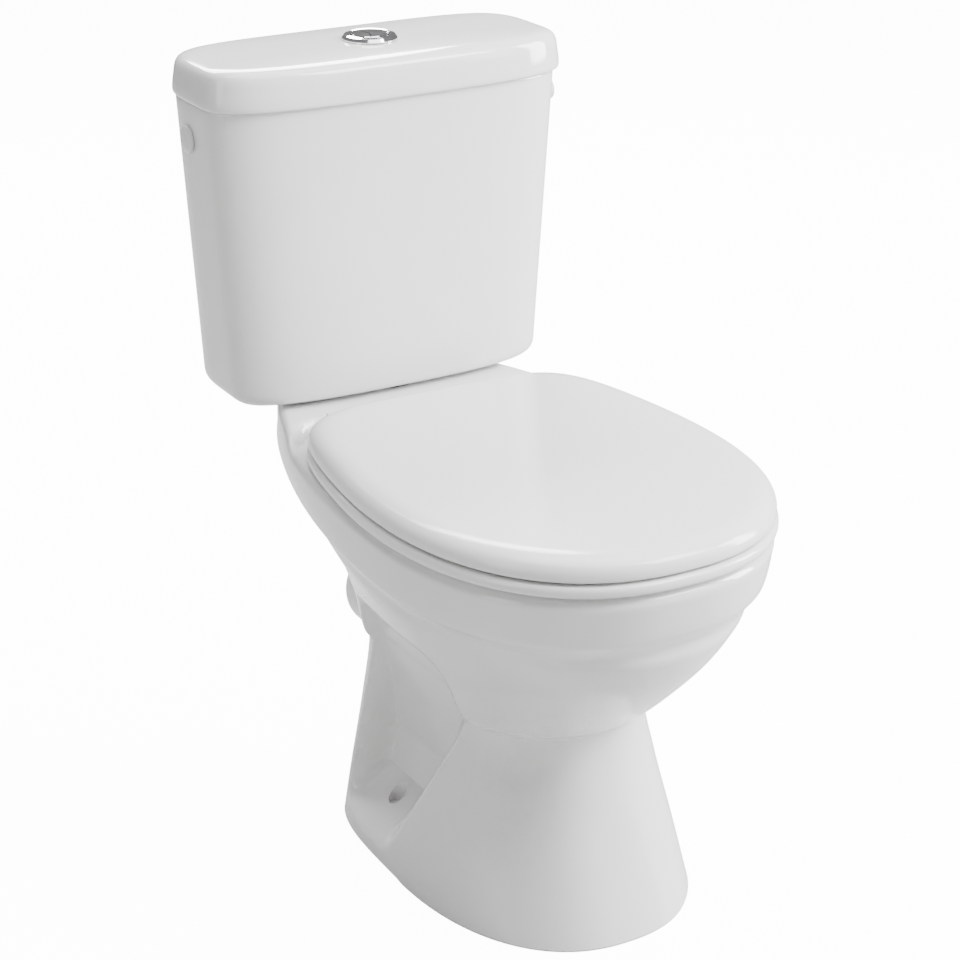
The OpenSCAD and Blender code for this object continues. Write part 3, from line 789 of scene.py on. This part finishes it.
    def cutters(self) -> list[Piece]:
        """The trap, the outlet's bore, the hollows under the deck and the floor fixing holes."""
        bore = [(0, 128), (43, 128), (43, 230), (0, 230)]
        fixing = [(0, -5), (6, -5), (6, 33), (7, 34), (10, 34), (10, 75), (0, 75)]
        cutters = [tube_along("trap", self.trap, 36.0),
                   lathe("bore", bore, 72, "y", (0, 0, self.outlet))]
        for side in (-1, 1):
            near, far = sorted((54 * side, 86 * side))
            cutters.append(box("under_deck", (near, 76, 264), (far, 230, 376)))
            cutters.append(lathe("fixing", fixing, 40, "z", (self.fixing_x * side, 0, 0)))
        return cutters

    def build(self, shop: Workshop, seat: "Seat") -> None:
        """Makes the pan."""
        top = self.outside.sections[-1]
        profile = self.outside
        rings = [self.underneath(u) for u in (1.0, 0.8, 0.6, 0.4, 0.2, 0.02)]
        rings.append(lerp(rings[-1], self.outer(0.0), 0.1) * (1, 1, 0))
        biscuit = len(rings)
        rings += [lerp(rings[-1], self.outer(2.0), 0.96) * (1, 1, 0)]
        rings += [self.outer(z) for z in np.concatenate([
            (2.0, 4.0, 8.0), np.arange(12.0, 188.0, 4.0), np.arange(188.0, 212.0, 2.0),
            np.arange(212.0, 320.0, 4.0), np.arange(320.0, 352.0, 1.6),
            np.arange(352.0, 386.0, 4.0)])]
        for angle in arc(7):
            s = top.inset(self.edge * (1 - math.cos(angle)))
            z = self.rim - self.edge + self.edge * math.sin(angle)
            rings.append(self.lifted(profile.ring(s, z), seat))
        brim = profile.ring(top.inset(self.edge), self.rim)
        lip = self.lip
        edge = profile.ring(self.mouth.inset(-lip), self.rim)
        rings += [self.lifted(lerp(brim, edge, t), seat) for t in np.linspace(0, 1, 46)[1:]]
        for angle in arc(5):
            s = self.mouth.inset(-lip * (1 - math.sin(angle)))
            rings.append(profile.ring(s, self.rim - lip * (1 - math.cos(angle))))
        rings.append(profile.ring(self.mouth.inset(-0.5), 356.0))
        for angle in arc(4):
            s = self.mouth.inset(-0.5 - 8.0 * (1 - math.cos(angle)))
            rings.append(profile.ring(s, 356.0 - 4.0 * math.sin(angle)))
        rings += [profile.ring(self.bowl.at(z), z) for z in np.arange(350.0, 111.0, -3.5)]
        pan = skin("china_pan", rings, ((0, -60, 85), (0, -53, 110)),
                   lambda j: 1 if j < biscuit else 0)
        pan = carved(pan, self.cutters())
        r, end = self.spigot_r, self.spigot_end
        spigot = lathe("spigot", rounded([
            (43, 96, 0), (70, 96, 0), (70, 108, 0), (54, 118, 14), (r, 136, 4), (r, end - 12, 0),
            (r, end, 3), (43, end, 2)], 5), 96, "y", (0, 0, self.outlet))
        shop.add(join("china_pan", [pan, spigot]), "toilet", "glazed_china",
                 (Finishes.GLAZE, Finishes.BISCUIT), ("pan",), 30.0)


@dataclass
class Cistern:
    """The cistern and its lid.

    Attributes:
        low: Underside of the cistern.
        joint: Underside of the lid's edge.
        wall: Thickness of the china.
        flush_y: Centre of the flush outlet and of the push button.
        button_r: Radius of the lid's hole for the push button.
        crown: Height at which the lid's edge meets its top face, over its underside.
        tank: The cistern's outside.
        cover: The lid's outside.
    """

    low: float = 411.5
    joint: float = 716.0
    wall: float = 10.0
    flush_y: float = 217.0
    button_r: float = 21.0
    crown: float = 38.6
    tank: Profile = Profile((Section(411.5, 171.5, 200, 149, 299, 2.75, 5.6),
                             Section(715.7, 190.5, 200, 144, 299, 3.1, 5.6)))
    cover: Section = Section(716, 194.5, 198, 138, 304, 3.2, 5)

    def tank_ring(self, z: float, d: float) -> Ring:
        """The tank's outline at a height, drawn in by d."""
        return self.tank.ring(self.tank.at(z).inset(d), z, 70, 70)

    def cover_ring(self, z: float, d: float) -> Ring:
        """The lid's outline at a height, drawn in by d."""
        return self.tank.ring(self.cover.inset(d), z, 70, 70)

    def build_tank(self, shop: Workshop) -> None:
        """Makes the cistern body."""
        low, top, wall = self.low, self.joint - 0.3, self.wall
        foot = ((0, 21), (0.4, 17.3), (1.1, 13.8), (2.2, 10.7), (3.5, 8.2), (5.2, 5.7),
                (7.2, 3.5), (9.7, 1.7), (12.6, 0.6), (16.8, 0))
        rings = [self.tank_ring(low + h, d) for h, d in foot]
        rings += [self.tank_ring(z, 0) for z in np.linspace(low + 30, top - 3.5, 26)]
        rings += [self.tank_ring(top - 3.5 + 3.5 * math.sin(a), 3.5 * (1 - math.cos(a)))
                  for a in arc(5)]
        glazed = len(rings)
        rings += [self.tank_ring(top, wall - 2.5)]
        rings += [self.tank_ring(top - 2.5 * (1 - math.cos(a)), wall - 2.5 + 2.5 * math.sin(a))
                  for a in arc(4)]
        rings += [self.tank_ring(z, wall) for z in np.linspace(top - 10, low + 24, 14)]
        rings += [self.tank_ring(low + h, wall + d)
                  for h, d in ((20, 1), (16, 3.5), (13.5, 7), (12.2, 12))]
        tank = skin("cistern_tank", rings, ((0, self.flush_y, low), (0, self.flush_y, low + 12)),
                    lambda j: 1 if j >= glazed + 6 else 0)
        shop.add(tank, "toilet", "glazed_china", (Finishes.GLAZE, Finishes.BISCUIT),
                 ("cistern_body",))

    def build_cover(self, shop: Workshop) -> None:
        """Makes the cistern lid, with its hole for the push button."""
        z = self.joint
        edge = ((0, 2), (0.6, 1.2), (1.5, 0.6), (3, 0.15), (6, 0), (12, 0.5), (20, 1.6),
                (24, 2.1), (27, 2.6), (30, 3.4), (32.3, 4.4), (34.2, 5.7), (35.8, 7.6), (37, 10),
                (37.9, 13), (self.crown, 17))
        rings = [self.cover_ring(z + h, d) for h, d in edge]
        turns = rings[-1].copy()
        centre = (0, self.flush_y)
        offset = turns[:, :2] - centre
        hole = turns.copy()
        hole[:, :2] = offset / np.linalg.norm(offset, axis=1)[:, None] * self.button_r + centre
        for t in np.linspace(0, 1, 22)[1:]:
            ring = lerp(turns, hole, t)
            ring[:, 2] = z + self.crown + 2.4 * (1 - (1 - t) ** 2)
            rings.append(ring)
        under = len(rings)
        bore = hole.copy()
        bore[:, 2] = z + 28
        rings.append(bore)
        inner = self.cover_ring(z + 28, 42)
        rings += [lerp(bore, inner, t) for t in (0.33, 0.66, 1.0)]
        rings += [self.cover_ring(z + h, d) for h, d in
                  ((27.5, 34), (25.5, 29), (22, 27), (0, 26), (-9, 26), (-10, 25), (-10, 21),
                   (-9, 20), (-1, 19), (0, 18), (0, 8))]
        cover = skin("cistern_cover", rings, None, lambda j: 1 if j >= under else 0)
        shop.add(cover, "cistern_cover", "glazed_china", (Finishes.GLAZE, Finishes.BISCUIT),
                 ("cistern_lid",))


@dataclass
class Seat:
    """The seat ring, its lid and their hinges.

    Attributes:
        low: Underside of the ring.
        thick: Thickness of the ring.
        axis_y: The hinge axis, front to back.
        axis_z: Height of the hinge axis.
        post_x: Distance of each hinge post from the middle.
        floor: Height of the china that the posts stand on.
        plan: How the ring, the lid and the recess narrow towards the hinges.
        ring: The ring's outside.
        opening: The ring's opening.
        recess: The recess in the pan's top face that the rear of the seat lies in.
        lid: The lid's outside.
    """

    low: float = 397.5
    thick: float = 11.5
    axis_y: float = 104.0
    axis_z: float = 411.5
    post_x: float = 77.5
    floor: float = 394.2
    plan: Profile = Profile((), -120.0, 70.0)
    ring: Section = Section(397.5, 186, -120, -356, 106.5, 2.3, 5, 0.09)
    opening: Section = Section(397.5, 112, -145, -296, 5, 2.2, 2.2)
    recess: Section = Section(394, 192, -120, -362, 127, 2.3, 5, 0.09)
    lid: Section = Section(411.5, 184, -120, -354, 106.5, 2.3, 5, 0.09)

    def reach(self, x: np.ndarray, y: np.ndarray) -> np.ndarray:
        """How far out a point is: 1 on the outline of the china's recess, more outside."""
        s = self.recess
        ahead = y < s.mid
        b = np.where(ahead, s.mid - s.front, s.rear - s.mid)
        e = np.where(ahead, s.n_front, s.n_rear)
        w = s.half * self.plan.waist(y, s.waist)
        return ((np.abs(x) / w) ** e + (np.abs(y - s.mid) / b) ** e) ** (1 / e)

    def outline(self, s: Section, z: float, d: float) -> Ring:
        """An outline of the ring or the lid at height z, drawn in by d."""
        return self.plan.ring(s.inset(d), z)

    def knuckle(self, x: float, width: float) -> Piece:
        """A round lug with a bore, from x towards +X."""
        return lathe("knuckle", rounded([(3.05, x, 0.4), (7, x, 0.8), (7, x + width, 0.8),
                                         (3.05, x + width, 0.4)], 3), 48, "x",
                     (0, self.axis_y, self.axis_z))

    def build_ring(self, shop: Workshop) -> None:
        """Makes the seat ring with its hinge lugs."""
        z, t = self.low, self.thick
        s, o = self.ring, self.opening
        rings = [self.outline(s, z + h, d) for h, d in
                 ((0, 4), (0.3, 2.6), (1, 1.4), (2.2, 0.5), (4, 0), (t - 5, 0), (t - 3.4, 0.3),
                  (t - 2.1, 1), (t - 1.1, 2.1), (t - 0.4, 3.5), (t, 5.5))]
        inner = [self.plan.ring(o.inset(d), z + h) for h, d in
                 ((t, -14), (t - 0.5, -10), (t - 1.5, -6.5), (t - 3, -3.5), (t - 5, -1.2),
                  (t - 7, 0), (4, 0.2), (2, -0.8), (0.7, -2.2), (0, -4))]
        rings += [lerp(rings[-1], inner[0], u) for u in (0.25, 0.5, 0.75)]
        rings += inner
        rings += [lerp(rings[-1], rings[0], u) for u in (0.33, 0.66)]
        ring = skin("seat", rings, None)
        cutters = []
        for side in (-1, 1):
            for x, half, back in ((self.post_x, 13, 90), (47, 7, 94), (108, 7, 94)):
                low = (side * x - half, back, z - 5)
                cutters.append(box("gap", low, (side * x + half, back + 40, z + 40)))
        ring = carved(ring, cutters)
        lugs = [self.knuckle(x, 10) for x in (-100.5, -64.5, 54.5, 90.5)]
        shop.add(join("seat", [ring, *lugs]), "seat", "white_seat_plastic", Finishes.SEAT,
                 ("seat_ring",))

    def build_lid(self, shop: Workshop) -> None:
        """Makes the domed lid with its hinge lugs."""
        z, s = self.axis_z, self.lid
        middle = np.array([0.0, -120.0, 0.0])

        def crown(height: float, rise: float, d: float, share: float) -> Ring:
            """A ring of a dome, a share of the way out from its middle."""
            ring = lerp(middle, self.outline(s, 0.0, d), share)
            ring[:, 2] = z + height + rise * (1 - share * share)
            return ring

        shares = np.linspace(0.06, 0.985, 14)
        rings = [crown(14.9, 3.6, 10, u) for u in shares]
        rings += [self.outline(s, z + h, d) for h, d in
                  ((14.4, 9), (13, 7.8), (11, 7), (8, 6.6), (1, 6), (0.2, 5.2), (0, 4.2), (0, 2.6),
                   (0.4, 1.2), (1.6, 0.3), (3.4, 0), (6.4, 0.15), (9, 0.8), (11.4, 1.9),
                   (13.6, 3.5), (15.6, 5.7), (17.3, 8.5), (18.7, 12), (19.8, 16.5), (20.6, 22))]
        rings += [crown(20.6, 3.9, 22, u) for u in shares[::-1]]
        lid = skin("seat_cover", rings, ((0, -120, z + 18.5), (0, -120, z + 24.5)))
        lid = carved(lid, [box("gap", (x - 24, 93, z - 9), (x + 24, 133, z + 10))
                           for x in (-self.post_x, self.post_x)])
        lugs = []
        for x in (-114, -53, 41, 102):
            lugs.append(self.knuckle(x, 12))
            lugs.append(box("arm", (x, 95, z + 0.5), (x + 12, 103, z + 13), 0.8))
        shop.add(join("seat_cover", [lid, *lugs]), "lid", "white_seat_plastic", Finishes.SEAT,
                 ("seat_lid",))

    def build_bumpers(self, shop: Workshop) -> None:
        """Makes the soft buffers under the ring and the lid."""
        spots = [(side * x, y) for side in (-1, 1) for x, y in ((150, -60), (134, -228))]
        for name, body, node, r, low, high in (
                ("seat_buffers", "seat", "seat_bumpers", 8.0, 394.3, 397.5),
                ("cover_buffers", "lid", "lid_bumpers", 6.0, 409.3, 428.3)):
            pads = [lathe("pad", [(0, low + 0.4), *rounded([
                (r * 0.55, low + 0.4, 0), (r * 0.7, low, 0.4), (r, low, 1.0), (r, high, 0.3)], 3),
                (0, high)], 32, "z", (x, y, 0)) for x, y in spots]
            shop.add(join(name, pads), body, "grey_plastic", Finishes.GREY, (node,))

    def build_posts(self, shop: Workshop) -> None:
        """Makes the two chromed hinge posts."""
        y, z = self.axis_y, self.axis_z
        dome = [(y + 8 * math.cos(a), z + 8 * math.sin(a))
                for a in np.linspace(0, math.pi, 17)]
        outline = [(y - 8, self.floor), (y + 8, self.floor), *dome]
        posts = [slab("post", outline, side * self.post_x - 12, side * self.post_x + 12, "x", 1.0)
                 for side in (-1, 1)]
        shop.add(join("chrome_hinge_posts", posts), "toilet", "chrome", Finishes.CHROME,
                 ("hinge_posts",))


class Threads:
    """Screw threads, as Geometry Nodes that wind a ridge round a rod."""

    RIDGE = 0.32
    """Half the width of the ridge, as a share of the pitch."""

    def __init__(self) -> None:
        """Builds the node tree."""
        tree, source, sink = node_tree(
            "wound thread", "GeometryNodeTree",
            {"Radius": 0.0, "Pitch": 0.0, "Length": 0.0, "Material": "Material"},
            {"Geometry": "Geometry"})
        new, link = tree.nodes.new, tree.links.new
        length, pitch = source.outputs["Length"], source.outputs["Pitch"]
        ridge = maths(tree, "MULTIPLY", pitch, self.RIDGE)
        inner = maths(tree, "SUBTRACT", source.outputs["Radius"], ridge)
        path = new("GeometryNodeCurveSpiral")
        path.inputs["Resolution"].default_value = 28
        link(maths(tree, "DIVIDE", length, pitch), path.inputs["Rotations"])
        link(inner, path.inputs["Start Radius"])
        link(inner, path.inputs["End Radius"])
        link(length, path.inputs["Height"])
        outline = new("GeometryNodeCurvePrimitiveCircle")
        outline.inputs["Resolution"].default_value = 4
        link(ridge, outline.inputs["Radius"])
        wound = new("GeometryNodeCurveToMesh")
        wound.inputs["Fill Caps"].default_value = True
        link(path.outputs[0], wound.inputs["Curve"])
        link(outline.outputs[0], wound.inputs["Profile Curve"])
        real = new("GeometryNodeRealizeInstances")
        paint = new("GeometryNodeSetMaterial")
        link(wound.outputs[0], real.inputs[0])
        link(real.outputs[0], paint.inputs["Geometry"])
        link(source.outputs["Material"], paint.inputs["Material"])
        link(paint.outputs[0], sink.inputs[0])
        self.tree = tree

    def wind(self, name: str, r: float, pitch: float, length: float, at: Sequence[float],
             axis: str, material: Material) -> Piece:
        """A thread of radius r over its ridge, as a plain mesh in metres.

        It starts at a point and runs along an axis: x or z.
        """
        host = to_object(name, bpy.data.meshes.new(name))
        modifier = host.modifiers.new("thread", "NODES")
        modifier.node_group = self.tree
        values = {"Radius": r * MM, "Pitch": pitch * MM, "Length": length * MM,
                  "Material": material}
        for item in self.tree.interface.items_tree:
            if item.in_out == "INPUT" and item.name in values:
                modifier[item.identifier] = values[item.name]
        mesh = bpy.data.meshes.new_from_object(
            host.evaluated_get(bpy.context.evaluated_depsgraph_get()))
        bpy.data.objects.remove(host, do_unlink=True)
        turn = Matrix.Rotation(math.pi / 2, 4, "Y") if axis == "x" else Matrix.Identity(4)
        mesh.transform(Matrix.Translation(Vector(at) * MM) @ turn)
        return to_object(name, mesh)


class Fittings:
    """The small fittings: CAD nodes that keep their shape, and the threads on them."""

    KEPT: dict[Finishes, tuple[str, ...]] = {
        Finishes.WHITE: ("inlet_plug", "fill_valve_body", "fill_float", "flush_plunger",
                         "hinge_wing_nuts", "half_flush_rod", "full_flush_rod"),
        Finishes.GREY: ("inlet_plug_nut", "fill_valve_backnut", "fill_valve_silencer_tube",
                        "float_arm", "flush_valve_body", "flush_valve_backnut",
                        "overflow_tube", "button_sleeve", "button_clamp_nut"),
        Finishes.BLUE: ("flush_valve_head",),
        Finishes.RUBBER: ("doughnut_washer", "coupling_cone_washers", "coupling_pan_washers",
                          "inlet_plug_washer", "fill_valve_inner_washer",
                          "fill_valve_outer_washer", "flush_valve_washer", "flush_seal",
                          "hinge_cone_washers"),
        Finishes.CHROME: ("button_ring", "half_flush_button", "full_flush_button",
                          "hinge_pins"),
        Finishes.ZINC: ("coupling_bolts", "coupling_steel_washers", "coupling_wing_nuts",
                        "float_arm_pin", "half_flush_spring", "full_flush_spring",
                        "hinge_studs"),
    }

    TRAVEL: float = 0.008
    """How far each button goes down, in metres."""

    def compress_springs(self, shop: Workshop) -> None:
        """Gives each button's spring a mesh of its own."""
        for side in ("half", "full"):
            spring = shop.frame["nodes"][f"{side}_flush_spring"]
            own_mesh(spring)

    def build(self, shop: Workshop) -> None:
        """Dresses the kept nodes, winds the threads and readies the springs."""
        for finish, nodes in self.KEPT.items():
            shop.keep(finish, *nodes)
        self.compress_springs(shop)
        threads = Threads()
        zinc, white = (shop.palette.material(f) for f in (Finishes.ZINC, Finishes.WHITE))
        inlet = threads.wind("inlet_thread", 10.8, 1.8, 17.0, (200, 235, 677), "x", white)
        shop.add(inlet, "toilet", "white_plastic", Finishes.WHITE)
        for name, x, y, r, low, length in (
                ("coupling_thread", 70.0, 217.0, 4.3, 359.0, 15.0),
                ("hinge_thread", 77.5, 104.0, 3.3, 355.0, 15.0)):
            pair = [threads.wind("turns", r, 1.25, length, (s * x, y, low), "z", zinc)
                    for s in (-1, 1)]
            shop.add(join(name, pair), "toilet", "plated_steel", Finishes.ZINC)


# ---- Studio ---------------------------------------------------------------------------------------


def place_in_studio(name: str, data: bpy.types.ID, at: Sequence[float],
                    toward: Sequence[float]) -> Piece:
    """Puts a light or a camera in the scene, pointing at a place."""
    placed = bpy.data.objects.new(name, data)
    bpy.context.scene.collection.objects.link(placed)
    placed.location = at
    look = Vector(toward) - Vector(at)
    placed.rotation_euler = look.to_track_quat("-Z", "Y").to_euler()
    return placed


@dataclass(frozen=True)
class SoftLight:
    """A soft rectangular light.

    Attributes:
        name: Its name.
        at: Where it is, in metres.
        toward: What it points at.
        size: Its width and height.
        power: Its power in watts.
    """

    name: str
    at: tuple[float, float, float]
    toward: tuple[float, float, float]
    size: tuple[float, float]
    power: float

    def build(self) -> None:
        """Puts the light in the scene."""
        data = bpy.data.lights.new(self.name, "AREA")
        data.shape = "RECTANGLE"
        data.size, data.size_y = self.size
        data.energy = self.power
        place_in_studio(self.name, data, self.at, self.toward)


@dataclass
class Studio:
    """The floor, the lights and the camera.

    Attributes:
        target: Where the camera looks, in millimetres.
        camera_at: Where the camera stands, in millimetres.
        lens: Focal length on a 36 mm sensor.
        ambient: Strength of the room's own light.
        floor_glow: How much brighter the floor and the room look to the camera than they are.
        lights: The soft lights.
    """

    target: tuple[float, float, float] = (0.34, 1.87, 366.49)
    camera_at: tuple[float, float, float] = (-1110.5, -1920.1, 1295.4)
    lens: float = 93.04
    ambient: float = 0.26
    floor_glow: float = 13.0
    lights: tuple[SoftLight, ...] = (
        SoftLight("top light", (0.2, -0.3, 3.0), (0, 0, 0.3), (2.4, 2.4), 92),
        SoftLight("key light", (1.1, -1.5, 2.4), (0, 0.1, 0.6), (1.0, 1.0), 85),
        SoftLight("right light", (3.2, -1.4, 1.6), (0, 0, 0.4), (1.2, 2.4), 345),
        SoftLight("right front light", (2.4, -2.8, 1.9), (0, 0, 0.5), (0.9, 2.2), 30),
        SoftLight("left light", (-3.2, -0.8, 1.4), (0, 0, 0.4), (1.2, 2.4), 26),
        SoftLight("rear light", (0.6, 2.6, 2.6), (0, 0, 0.7), (2.0, 1.2), 250),
    )

    def build_camera(self) -> None:
        """Places the camera at the viewing angle."""
        data = bpy.data.cameras.new("camera")
        data.lens = self.lens
        data.sensor_width = 36.0
        data.clip_end = 50.0
        bpy.context.scene.camera = place_in_studio(
            "camera", data, Vector(self.camera_at) * MM, Vector(self.target) * MM)

    def build_floor(self) -> None:
        """Makes the plain pale floor."""
        floor = box("floor", (-9000, -9000, -20), (9000, 9000, -0.2))
        material = bpy.data.materials.new("pale floor")
        material.use_nodes = True
        nodes = material.node_tree.nodes
        shader = nodes["Principled BSDF"]
        shader.inputs["Base Color"].default_value = (0.42, 0.42, 0.42, 1.0)
        shader.inputs["Roughness"].default_value = 0.9
        shader.inputs["Emission Color"].default_value = (1.0, 1.0, 1.0, 1.0)
        seen = nodes.new("ShaderNodeLightPath")
        glow = maths(material.node_tree, "MULTIPLY", seen.outputs["Is Camera Ray"],
                     self.floor_glow)
        material.node_tree.links.new(glow, shader.inputs["Emission Strength"])
        floor.data.materials.append(material)

    def build(self) -> None:
        """Makes the floor, the room's light, the soft lights and the camera."""
        self.build_floor()
        world = bpy.data.worlds.new("soft white room")
        world.use_nodes = True
        background = world.node_tree.nodes["Background"]
        background.inputs["Color"].default_value = (1.0, 1.0, 1.0, 1.0)
        seen = world.node_tree.nodes.new("ShaderNodeLightPath")
        strength = maths(world.node_tree, "MULTIPLY_ADD", seen.outputs["Is Camera Ray"],
                         self.floor_glow, self.ambient)
        world.node_tree.links.new(strength, background.inputs["Strength"])
        bpy.context.scene.world = world
        for light in self.lights:
            light.build()
        self.build_camera()


def main() -> None:
    """Builds the toilet and the studio."""
    logging.basicConfig(level=logging.INFO, format="%(message)s")
    shop = Workshop(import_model())
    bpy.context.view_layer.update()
    seat = Seat()
    Pan().build(shop, seat)
    cistern = Cistern()
    cistern.build_tank(shop)
    cistern.build_cover(shop)
    seat.build_ring(shop)
    seat.build_lid(shop)
    seat.build_bumpers(shop)
    seat.build_posts(shop)
    Fittings().build(shop)
    Studio().build()


if __name__ == "__main__":
    main()
